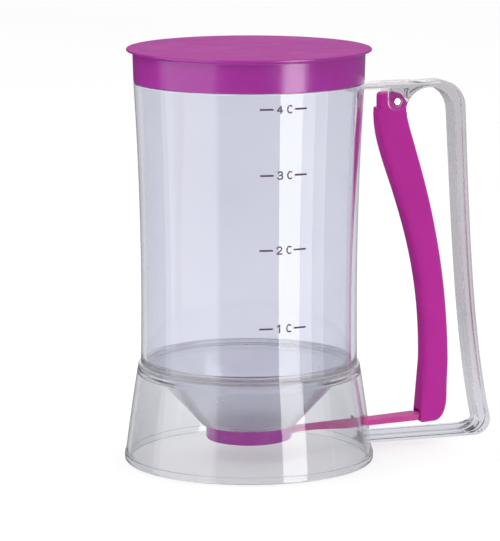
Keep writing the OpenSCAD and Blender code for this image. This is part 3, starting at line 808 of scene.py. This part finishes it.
def gate_arm_moulding(material):
    """Gate plate, rising arm, tongue and the bead that sits in the trigger."""
    tongue = ARM_BEAD_LEN / 2 - BEAD_INSET
    root = GATE_W / 2 - ROOT_INSET
    half = [(GATE_X, GATE_W / 2, GATE_CORNER_R), (ARM_X, GATE_W / 2, 0.4),
            (ARM_X, root, 0.2), (ARM_X + 0.6, root, 0.4),
            (ARM_X + PLATE_TAPER, ARM_W / 2, 3), (ARM_END_X - ARM_TAPER, ARM_W / 2, 6),
            (ARM_END_X, ARM_END_W / 2, 0.6), (ARM_END_X, tongue, 0.3),
            (BEAD_X, tongue, 0)]
    outline = fillet(half + [(x, -y, r) for x, y, r in half[::-1]])
    plate = slab("gate_arm_moulding", with_edge(outline, 0.35), GATE_T)
    # laid flat, then split where it starts to rise and where its underside gets deeper
    for vert in plate.data.vertices:
        x, y, z = vert.co
        vert.co = (x, z, GATE_MID_Z * MM - y)
    starts, full = (CAP_R + TRAVEL + out for out in ARM_DEEP_FROM)
    fades, ends = (ARM_END_X - inside for inside in ARM_DEEP_TO)
    bm = bmesh.new()
    bm.from_mesh(plate.data)
    bisect(bm, (1, 0, 0), (ARM_X, starts, full, fades, ends))
    bm.to_mesh(plate.data)
    bm.free()
    for vert in plate.data.vertices:
        x = vert.co.x / MM
        if vert.co.z < GATE_MID_Z * MM:
            part = min((x - starts) / (full - starts), (ends - x) / (ends - fades))
            vert.co.z -= ARM_DEEPER * MM * min(1, max(0, part))
        vert.co.z += ARM_RISE * MM * max(0, x - ARM_X)
    bead = rod((BEAD_X, BEAD_Z), ARM_BEAD_R, -ARM_BEAD_LEN / 2, ARM_BEAD_LEN / 2, 0.3, 48)
    combine(plate, "UNION", bead)
    finish_piece(plate, material, "pink_gate", "gate", "gate")


# ---- pieces: seal, pin and spring ---------------------------------------------------


def seal_washer(material):
    """Soft washer between the outlet boss and the gate."""
    outline = [(SEAL_BORE_R, SEAL_LOW.z, 0.35), (SEAL_R, SEAL_LOW.z, 0.35),
               (SEAL_R, SEAL_HIGH.z, 0.35), (SEAL_BORE_R, SEAL_HIGH.z, 0.35)]
    piece = lathe("seal_washer", fillet(outline, 15), 96)
    finish_piece(piece, material, "silicone", "pitcher", "seal_ring")


def pin_turned(material):
    """Turned steel pin through the ears, with chamfered ends."""
    piece = rod(PIVOT, PIN_R, PIN_LOW.y, PIN_HIGH.y, 0.25, name="pin_turned")
    finish_piece(piece, material, "steel", "pitcher", "pivot_pin")


def spring_wire(material, sides=16, seg=40):
    """Torsion spring: a leg down from the bar, the coil, and a leg inside the trigger."""
    path = [(180, LEG_X, -COIL_HALF, SPRING_HIGH.z)]
    for i in range(COIL_TURNS * seg + 1):
        a = 180 + 360 * i / seg
        path.append((a, PIVOT_X + COIL_R * cos(radians(a)),
                     -COIL_HALF + COIL_PITCH * i / seg,
                     PIVOT_Z + COIL_R * sin(radians(a))))
    path.append((180, LEG_X, COIL_HALF, SPRING_LOW.z))
    rings = [[(x + WIRE_R * cos(f) * cos(radians(a)), y + WIRE_R * sin(f),
               z + WIRE_R * cos(f) * sin(radians(a))) for f in around(sides)]
             for a, x, y, z in path]
    piece = skin("spring_wire", rings)
    finish_piece(piece, material, "steel", "pitcher", "return_spring")


# ---- pieces: graduations ------------------------------------------------------------

# for each mark its height on the cup and how far along the wall it lies
MARKS = {"4": (170.0, -1.2), "3": (140.1, -0.6), "2": (106.0, -0.6), "1": (70.1, -0.5)}
MARK_H = 3.9
MARK_STROKE = 0.6
DASH_STROKE = 0.8
DASHES = ((-10.7, -5.3), (5.4, 10.7))
# where the digit and the letter lie in a mark, and how wide they are
DIGIT = (-1.9, 2.9)
LETTER = (2.7, 2.8)
LONGEST_STEP = 0.8
INK = 0.04
INK_GAP = 0.01

# the lines of each glyph, in a box one high and about 0.8 wide
GLYPHS = {
    "1": [[(-0.28, 0.3), (0.04, 0.5), (0.04, -0.5)]],
    "2": [[(-0.36, 0.24), (-0.26, 0.43), (0, 0.5), (0.26, 0.43), (0.36, 0.22),
           (0.26, 0), (-0.38, -0.5), (0.4, -0.5)]],
    "3": [[(-0.34, 0.36), (-0.14, 0.5), (0.12, 0.5), (0.32, 0.38), (0.32, 0.16),
           (0.14, 0.03), (-0.06, 0.03)],
          [(0.14, 0.03), (0.36, -0.12), (0.36, -0.34), (0.16, -0.5), (-0.14, -0.5),
           (-0.37, -0.34)]],
    "4": [[(0.16, -0.5), (0.16, 0.5), (-0.4, -0.2), (0.4, -0.2)]],
    "C": [[(0.3, 0.42), (0.1, 0.5), (-0.12, 0.46), (-0.3, 0.28), (-0.37, 0.08),
           (-0.37, -0.08), (-0.3, -0.28), (-0.12, -0.46), (0.1, -0.5), (0.3, -0.42)]],
}


def stroke(bm, line, width, height):
    """A ribbon of ink along a line of (along, up) points, wrapped round the cup."""
    dense = [line[0]]
    for a, b in zip(line, line[1:]):
        steps = ceil(sqrt((b[0] - a[0]) ** 2 + (b[1] - a[1]) ** 2) / LONGEST_STEP)
        dense += [tuple(a[k] + (b[k] - a[k]) * i / steps for k in (0, 1))
                  for i in range(1, steps + 1)]
    pts = [Vector(p) for p in dense]
    rings = []
    for i, p in enumerate(pts):
        back = (p - pts[i - 1]).normalized() if i else (pts[1] - p).normalized()
        ahead = (pts[i + 1] - p).normalized() if i + 1 < len(pts) else back
        a, b = Vector((-back.y, back.x)), Vector((-ahead.y, ahead.x))
        side = (a + b) * (width / 2 / max(0.5, 1 + a.dot(b)))
        if i in (0, len(pts) - 1):
            p = p + (ahead if i else -ahead) * (width / 2)
        rings.append([(p + side, INK), (p - side, INK), (p - side, 0), (p + side, 0)])
    loops = []
    for ring in rings:
        loop = []
        for (u, v), lift in ring:
            z = height + v
            r = cup_r(z) + INK_GAP + lift
            loop.append(bm.verts.new(Vector((r * sin(u / r), -r * cos(u / r), z)) * MM))
        loops.append(loop)
    for a, b in zip(loops, loops[1:]):
        for i in range(4):
            bm.faces.new((a[i - 1], a[i], b[i], b[i - 1]))
    bm.faces.new(loops[0])
    bm.faces.new(loops[-1][::-1])


def graduation_marks(material):
    """Four printed marks, each a number of cups between two dashes."""
    bm = bmesh.new()
    reach = MARK_H - MARK_STROKE
    for digit, (height, shift) in MARKS.items():
        for start, end in DASHES:
            stroke(bm, [(shift + start, 0), (shift + end, 0)], DASH_STROKE, height)
        for glyph, (along, wide) in ((digit, DIGIT), ("C", LETTER)):
            for line in GLYPHS[glyph]:
                stroke(bm, [(shift + along + u * wide, v * reach) for u, v in line],
                       MARK_STROKE, height)
    bmesh.ops.recalc_face_normals(bm, faces=bm.faces)
    finish_piece(placed("graduation_marks", bm), material, "clear_body", "pitcher")


# ---- materials ----------------------------------------------------------------------


def linear(r, g, b):
    """An sRGB colour of 0 to 255 as linear values."""
    return tuple(c / 255 / 12.92 if c < 10.3 else ((c / 255 + 0.055) / 1.055) ** 2.4
                 for c in (r, g, b)) + (1,)


# sockets of a Mix node for colours: the factor, the two colours and the result
MIX_FACTOR, MIX_A, MIX_B, MIX_RESULT = 0, 6, 7, 2


class Nodes:
    """A material's node tree, with short calls for the nodes used here."""

    def __init__(self, name):
        self.material = bpy.data.materials.new(name)
        self.material.use_nodes = True
        self.tree = self.material.node_tree
        self.shader = self.tree.nodes["Principled BSDF"]
        self.place = self.add("ShaderNodeTexCoord").outputs["Object"]

    def add(self, kind, **settings):
        node = self.tree.nodes.new(kind)
        for key, value in settings.items():
            setattr(node, key, value)
        return node

    def link(self, source, target):
        self.tree.links.new(source, target)

    def noise(self, scale, detail=2.0, stretch=(1, 1, 1)):
        """Noise with features of about 1/scale metres, stretched along the axes."""
        mapping = self.add("ShaderNodeMapping")
        mapping.inputs["Scale"].default_value = stretch
        self.link(self.place, mapping.inputs["Vector"])
        noise = self.add("ShaderNodeTexNoise")
        noise.inputs["Scale"].default_value = scale
        noise.inputs["Detail"].default_value = detail
        self.link(mapping.outputs["Vector"], noise.inputs["Vector"])
        return noise.outputs["Fac"]

    def ramp(self, source, low, high, start=0.3, end=0.7):
        """Maps a noise to values or colours between low and high."""
        if isinstance(low, tuple):
            node = self.add("ShaderNodeMix", data_type="RGBA")
            grade = self.ramp(source, 0.0, 1.0, start, end)
            self.link(grade, node.inputs[MIX_FACTOR])
            node.inputs[MIX_A].default_value = low
            node.inputs[MIX_B].default_value = high
            return node.outputs[MIX_RESULT]
        node = self.add("ShaderNodeMapRange", clamp=True)
        node.inputs["From Min"].default_value = start
        node.inputs["From Max"].default_value = end
        node.inputs["To Min"].default_value = low
        node.inputs["To Max"].default_value = high
        self.link(source, node.inputs["Value"])
        return node.outputs["Result"]

    def multiply(self, colour, by):
        """One colour times another."""
        node = self.add("ShaderNodeMix", data_type="RGBA", blend_type="MULTIPLY")
        node.inputs[MIX_FACTOR].default_value = 1
        self.link(colour, node.inputs[MIX_A])
        self.link(by, node.inputs[MIX_B])
        return node.outputs[MIX_RESULT]

    def bump(self, source, height, after=None):
        """Bump of that height in metres."""
        node = self.add("ShaderNodeBump")
        node.inputs["Strength"].default_value = 1
        node.inputs["Distance"].default_value = height
        self.link(source, node.inputs["Height"])
        if after:
            self.link(after, node.inputs["Normal"])
        return node.outputs["Normal"]

    def set(self, **values):
        for key, value in values.items():
            self.shader.inputs[key.replace("_", " ")].default_value = value


def moulded_plastic(name, low, high, rough, grain=2.5e-6, specular=0.5):
    """Opaque moulded plastic: cloudy colour, smudged gloss and a fine grain."""
    m = Nodes(name)
    cloud = m.noise(38, 3)
    smudge = m.noise(85, 4, (1, 1, 0.5))
    fine = m.noise(2600, 2)
    broad = m.noise(55, 1)
    m.link(m.ramp(cloud, low, high), m.shader.inputs["Base Color"])
    m.link(m.ramp(smudge, *rough), m.shader.inputs["Roughness"])
    m.link(m.bump(fine, grain * 4, after=m.bump(broad, grain * 40)),
           m.shader.inputs["Normal"])
    m.set(Specular_IOR_Level=specular, IOR=1.5)
    return m.material


def clear_plastic(name, low, high, rough, ior=1.57, wave=1.2e-4, foot=None, edge=None):
    """Clear moulded plastic: faint tint, smudges, and broad waves left by the mould;
    on the handle the tint is a grey of painted shade. The tint fades to the foot colour
    towards the floor, where the handle's painted shade fades out. Where the wall is seen
    edge on, and so through more plastic, it is darker by the edge colour."""
    m = Nodes(name)
    cloud = m.noise(22, 2)
    smudge = m.noise(60, 4, (1, 1, 0.35))
    flow = m.noise(26, 1, (1, 1, 0.25))
    tint = m.ramp(cloud, low, high)
    if foot:
        split = m.add("ShaderNodeSeparateXYZ")
        m.link(m.place, split.inputs[0])
        tint = m.multiply(m.ramp(split.outputs["Z"], foot, low, 0.01, 0.06),
                          m.ramp(cloud, (0.94, 0.94, 0.94, 1), (1, 1, 1, 1)))
    if edge:
        facing = m.add("ShaderNodeLayerWeight").outputs["Facing"]
        tint = m.multiply(tint, m.ramp(facing, (1, 1, 1, 1), edge, 0.15, 0.45))
    m.link(tint, m.shader.inputs["Base Color"])
    m.link(m.ramp(smudge, *rough, 0.35, 0.75), m.shader.inputs["Roughness"])
    m.link(m.bump(flow, wave), m.shader.inputs["Normal"])
    m.set(Transmission_Weight=1.0, IOR=ior)
    return m.material


def printed_ink(name, low, high):
    """Screen-printed ink, slightly uneven."""
    m = Nodes(name)
    m.link(m.ramp(m.noise(900, 3), low, high), m.shader.inputs["Base Color"])
    m.link(m.ramp(m.noise(1500, 2), 0.55, 0.7), m.shader.inputs["Roughness"])
    m.set(Specular_IOR_Level=0.2)
    m.link(m.bump(m.noise(4000, 2), 1e-5), m.shader.inputs["Normal"])
    return m.material


def silicone(name):
    """Milky soft rubber."""
    m = Nodes(name)
    m.link(m.ramp(m.noise(240, 2), linear(214, 213, 214), linear(226, 225, 224)),
           m.shader.inputs["Base Color"])
    m.link(m.ramp(m.noise(500, 3), 0.45, 0.62), m.shader.inputs["Roughness"])
    m.link(m.bump(m.noise(3000, 2), 8e-6), m.shader.inputs["Normal"])
    m.set(Subsurface_Weight=0.15, Subsurface_Scale=0.002)
    return m.material


def turned_steel(name):
    """Bright steel wire and bar, with fine turning marks round its length."""
    m = Nodes(name)
    rings = m.noise(1800, 2, (0.2, 6, 0.2))
    m.link(m.ramp(m.noise(700, 2), linear(196, 196, 200), linear(216, 216, 218)),
           m.shader.inputs["Base Color"])
    m.link(m.ramp(rings, 0.18, 0.34), m.shader.inputs["Roughness"])
    m.link(m.bump(rings, 6e-6), m.shader.inputs["Normal"])
    m.set(Metallic=1.0)
    return m.material


# ---- stage and light ----------------------------------------------------------------


def white_for_view(tree, closure, seen, amount):
    """Mixes what camera, glossy and transmission rays see into a node tree's shader."""
    path = tree.nodes.new("ShaderNodeLightPath")
    total = path.outputs["Is Camera Ray"]
    for name in ("Is Glossy Ray", "Is Transmission Ray"):
        node = tree.nodes.new("ShaderNodeMath")
        node.operation = "MAXIMUM"
        tree.links.new(total, node.inputs[0])
        tree.links.new(path.outputs[name], node.inputs[1])
        total = node.outputs[0]
    scaled = tree.nodes.new("ShaderNodeMath")
    scaled.operation = "MULTIPLY"
    scaled.inputs[1].default_value = amount
    tree.links.new(total, scaled.inputs[0])
    mix = tree.nodes.new("ShaderNodeMixShader")
    tree.links.new(scaled.outputs[0], mix.inputs[0])
    tree.links.new(closure, mix.inputs[1])
    tree.links.new(seen, mix.inputs[2])
    return mix.outputs[0]


def make_world(level=1.0):
    """White to look at, and as light on matt surfaces."""
    world = bpy.data.worlds.new("studio")
    world.use_nodes = True
    tree = world.node_tree
    light = tree.nodes["Background"]
    light.inputs["Color"].default_value = (1, 1, 1, 1)
    light.inputs["Strength"].default_value = level
    seen = tree.nodes.new("ShaderNodeBackground")
    seen.inputs["Color"].default_value = (1, 1, 1, 1)
    seen.inputs["Strength"].default_value = 1
    shader = white_for_view(tree, light.outputs[0], seen.outputs[0], 1)
    tree.links.new(shader, tree.nodes["World Output"].inputs["Surface"])
    scene.world = world


def make_floor(reach=6.0, shadow=0.5, drop=0.0002):
    """Plain pale floor that keeps the object's shadow."""
    bm = bmesh.new()
    bmesh.ops.create_grid(bm, x_segments=1, y_segments=1, size=reach)
    floor = placed("floor", bm)
    floor.location.z = -drop
    m = Nodes("floor_paint")
    tone = m.ramp(m.noise(3, 2), linear(247, 247, 248), linear(250, 250, 250))
    m.link(tone, m.shader.inputs["Base Color"])
    m.set(Roughness=0.9, Specular_IOR_Level=0.1)
    glow = m.add("ShaderNodeEmission")
    glow.inputs["Strength"].default_value = 1
    shader = white_for_view(m.tree, m.shader.outputs[0], glow.outputs[0], 1 - shadow)
    m.link(shader, m.tree.nodes["Material Output"].inputs["Surface"])
    floor.data.materials.append(m.material)
    floor.visible_glossy = False


def hang(data, angle, reach, height, target):
    """Puts a lamp at an angle round the object, aimed at a point."""
    lamp = bpy.data.objects.new(data.name, data)
    lamp.location = turned(angle, reach, height)
    towards = Vector(target) - lamp.location
    lamp.rotation_euler = towards.to_track_quat("-Z", "Y").to_euler()
    lamp.visible_transmission = False
    scene.collection.objects.link(lamp)
    return lamp


def softbox(name, angle, reach, height, size, radiance):
    """A rectangular lamp at an angle round the object, aimed at its middle."""
    data = bpy.data.lights.new(name, "AREA")
    data.shape = "RECTANGLE"
    data.size, data.size_y = size
    data.energy = radiance * pi * size[0] * size[1]
    lamp = hang(data, angle, reach, height, (0, 0, 0.1))
    lamp.visible_camera = False
    return lamp


def spot(name, angle, reach, height, target, spread, power):
    """A soft-edged spot lamp at an angle round the object, aimed at a point."""
    data = bpy.data.lights.new(name, "SPOT")
    data.spot_size = radians(spread)
    data.spot_blend = 1
    data.shadow_soft_size = 0.04
    data.energy = power
    lamp = hang(data, angle, reach, height, target)
    lamp.visible_glossy = False
    return lamp


def only_on(lamp, *names):
    """Keeps a lamp to the named pieces."""
    group = bpy.data.collections.new(lamp.name + "_on")
    for name in names:
        group.objects.link(bpy.data.objects[name])
    lamp.light_linking.receiver_collection = group


def card(name, corners_at, radiance, clear=False):
    """A dark studio card that only reflections see, and clear plastic too if asked."""
    bm = bmesh.new()
    bm.faces.new([bm.verts.new(p) for p in corners_at])
    piece = placed(name, bm)
    m = Nodes(name + "_paint")
    glow = m.add("ShaderNodeEmission")
    m.link(m.ramp(m.noise(2, 1), radiance * 0.9, radiance * 1.1), glow.inputs["Strength"])
    m.link(glow.outputs[0], m.tree.nodes["Material Output"].inputs["Surface"])
    piece.data.materials.append(m.material)
    piece.visible_camera = piece.visible_diffuse = piece.visible_shadow = False
    piece.visible_transmission = clear


def standing_card(name, start, end, reach, radiance, high, low=-0.8):
    """An upright card between two angles round the object."""
    a, b = turned(start, reach, 0), turned(end, reach, 0)
    card(name, [(a.x, a.y, low), (b.x, b.y, low), (b.x, b.y, high), (a.x, a.y, high)],
         radiance)


# ---- assembly -----------------------------------------------------------------------

clear_body = clear_plastic("clear_body", linear(228, 229, 238), linear(232, 233, 241),
                           (0.0, 0.06))
clear_funnel = clear_plastic("clear_funnel", linear(228, 229, 238),
                             linear(232, 233, 241), (0.2, 0.28))
clear_skirt = clear_plastic("clear_skirt", linear(230, 231, 235), linear(235, 236, 239),
                            (0.0, 0.07), edge=(0.88, 0.88, 0.89, 1))
# the handle's grey tint is painted shade for the dark surroundings that clear plastic
# shows; towards the floor it fades to the paler foot colour, where the painted shade
# fades out
clear_handle = clear_plastic("clear_handle", linear(198, 195, 200), linear(204, 201, 205),
                             (0.0, 0.08), foot=linear(220, 221, 228))
# a paler copy of the handle's plastic, with a lower IOR, painted lighter for the top bar
# and ears so that the trigger's head seen through the ears is not shaded
pale_handle = clear_plastic("pale_handle", linear(246, 245, 247), linear(250, 249, 251),
                            (0.0, 0.04), 1.38)
purple_lid = moulded_plastic("purple_lid", linear(147, 36, 138), linear(153, 41, 144),
                             (0.16, 0.26))
# the lid's top: the same purple painted lighter, as painted light from above, with a
# satin finish
lid_top_painted_lighter = moulded_plastic("purple_lid_top", linear(154, 43, 136), linear(161, 48, 142),
                          (0.5, 0.58), 6e-6, 0.06)
purple_trigger = moulded_plastic("purple_trigger", linear(174, 24, 143),
                                 linear(180, 29, 149), (0.34, 0.46), specular=0.3)
purple_cap = moulded_plastic("purple_cap", linear(174, 16, 162), linear(181, 21, 169),
                             (0.22, 0.34), specular=0.3)
pink_gate = moulded_plastic("pink_gate", linear(180, 64, 136), linear(188, 72, 144),
                            (0.4, 0.52), specular=0.1)
ink = printed_ink("ink", linear(80, 60, 80), linear(92, 70, 90))
washer = silicone("silicone")
steel = turned_steel("steel")

cup_moulding(clear_body, clear_funnel)
skirt_moulding(clear_skirt)
handle_moulding(clear_handle, pale_handle)
lid_moulding(purple_lid, lid_top_painted_lighter)
valve_cap_moulding(purple_cap)
trigger_moulding(purple_trigger)
gate_arm_moulding(pink_gate)
seal_washer(washer)
pin_turned(steel)
spring_wire(steel)
graduation_marks(ink)

make_world()
make_floor()
# strips that only reflections see: angle, width, radiance and the pieces that they light,
# which are all pieces where none is named
for name, angle, width, radiance, *pieces in (
        ("left_box", -61, 0.84, 0.85),
        ("lid_strip", 44, 0.32, 7.5, "lid_moulding"),
        ("right_strip", 42, 0.32, 6.0, "cup_moulding", "skirt_moulding",
         "valve_cap_moulding", "pin_turned"),
        ("skirt_strip", 42, 0.32, 4.0, "skirt_moulding"),
        ("near_glow", 61, 0.2, 2.8, "cup_moulding"),
        ("far_glow", 76, 0.2, 1.3, "cup_moulding")):
    strip = softbox(name, angle, 0.75, 0.2, (width, 2.0), radiance)
    strip.visible_diffuse = False
    if pieces:
        only_on(strip, *pieces)
softbox("key", -35, 1.1, 1.3, (0.7, 0.7), 3.0)
softbox("overhead", 0, 0.05, 1.25, (0.9, 0.9), 1.2).visible_glossy = False
only_on(spot("side_spot", -78, 0.9, 0.16, (PIVOT_X * MM, 0, 0.17), 7, 20),
        "trigger_moulding")
only_on(spot("arm_spot", -20, 0.9, 0.6, (1.8 * CAP_R * MM, 0, 0.014), 5, 26),
        "gate_arm_moulding")
standing_card("left_card", -165, -97, 1.0, 0.05, 1.2)
standing_card("front_card", -30, 84, 2.1, 0.12, 1.2)
standing_card("right_card", 84, 150, 0.95, 0.2, 1.2)
standing_card("back_left_card", -181, -165, 1.0, 0.05, 0.15)
standing_card("back_right_card", 150, 181, 1.0, 0.2, 0.15)
card("top_card", [(-1.6, -1.6, 1.4), (1.6, -1.6, 1.4), (1.6, 1.6, 1.4), (-1.6, 1.6, 1.4)],
     0.05, clear=True)
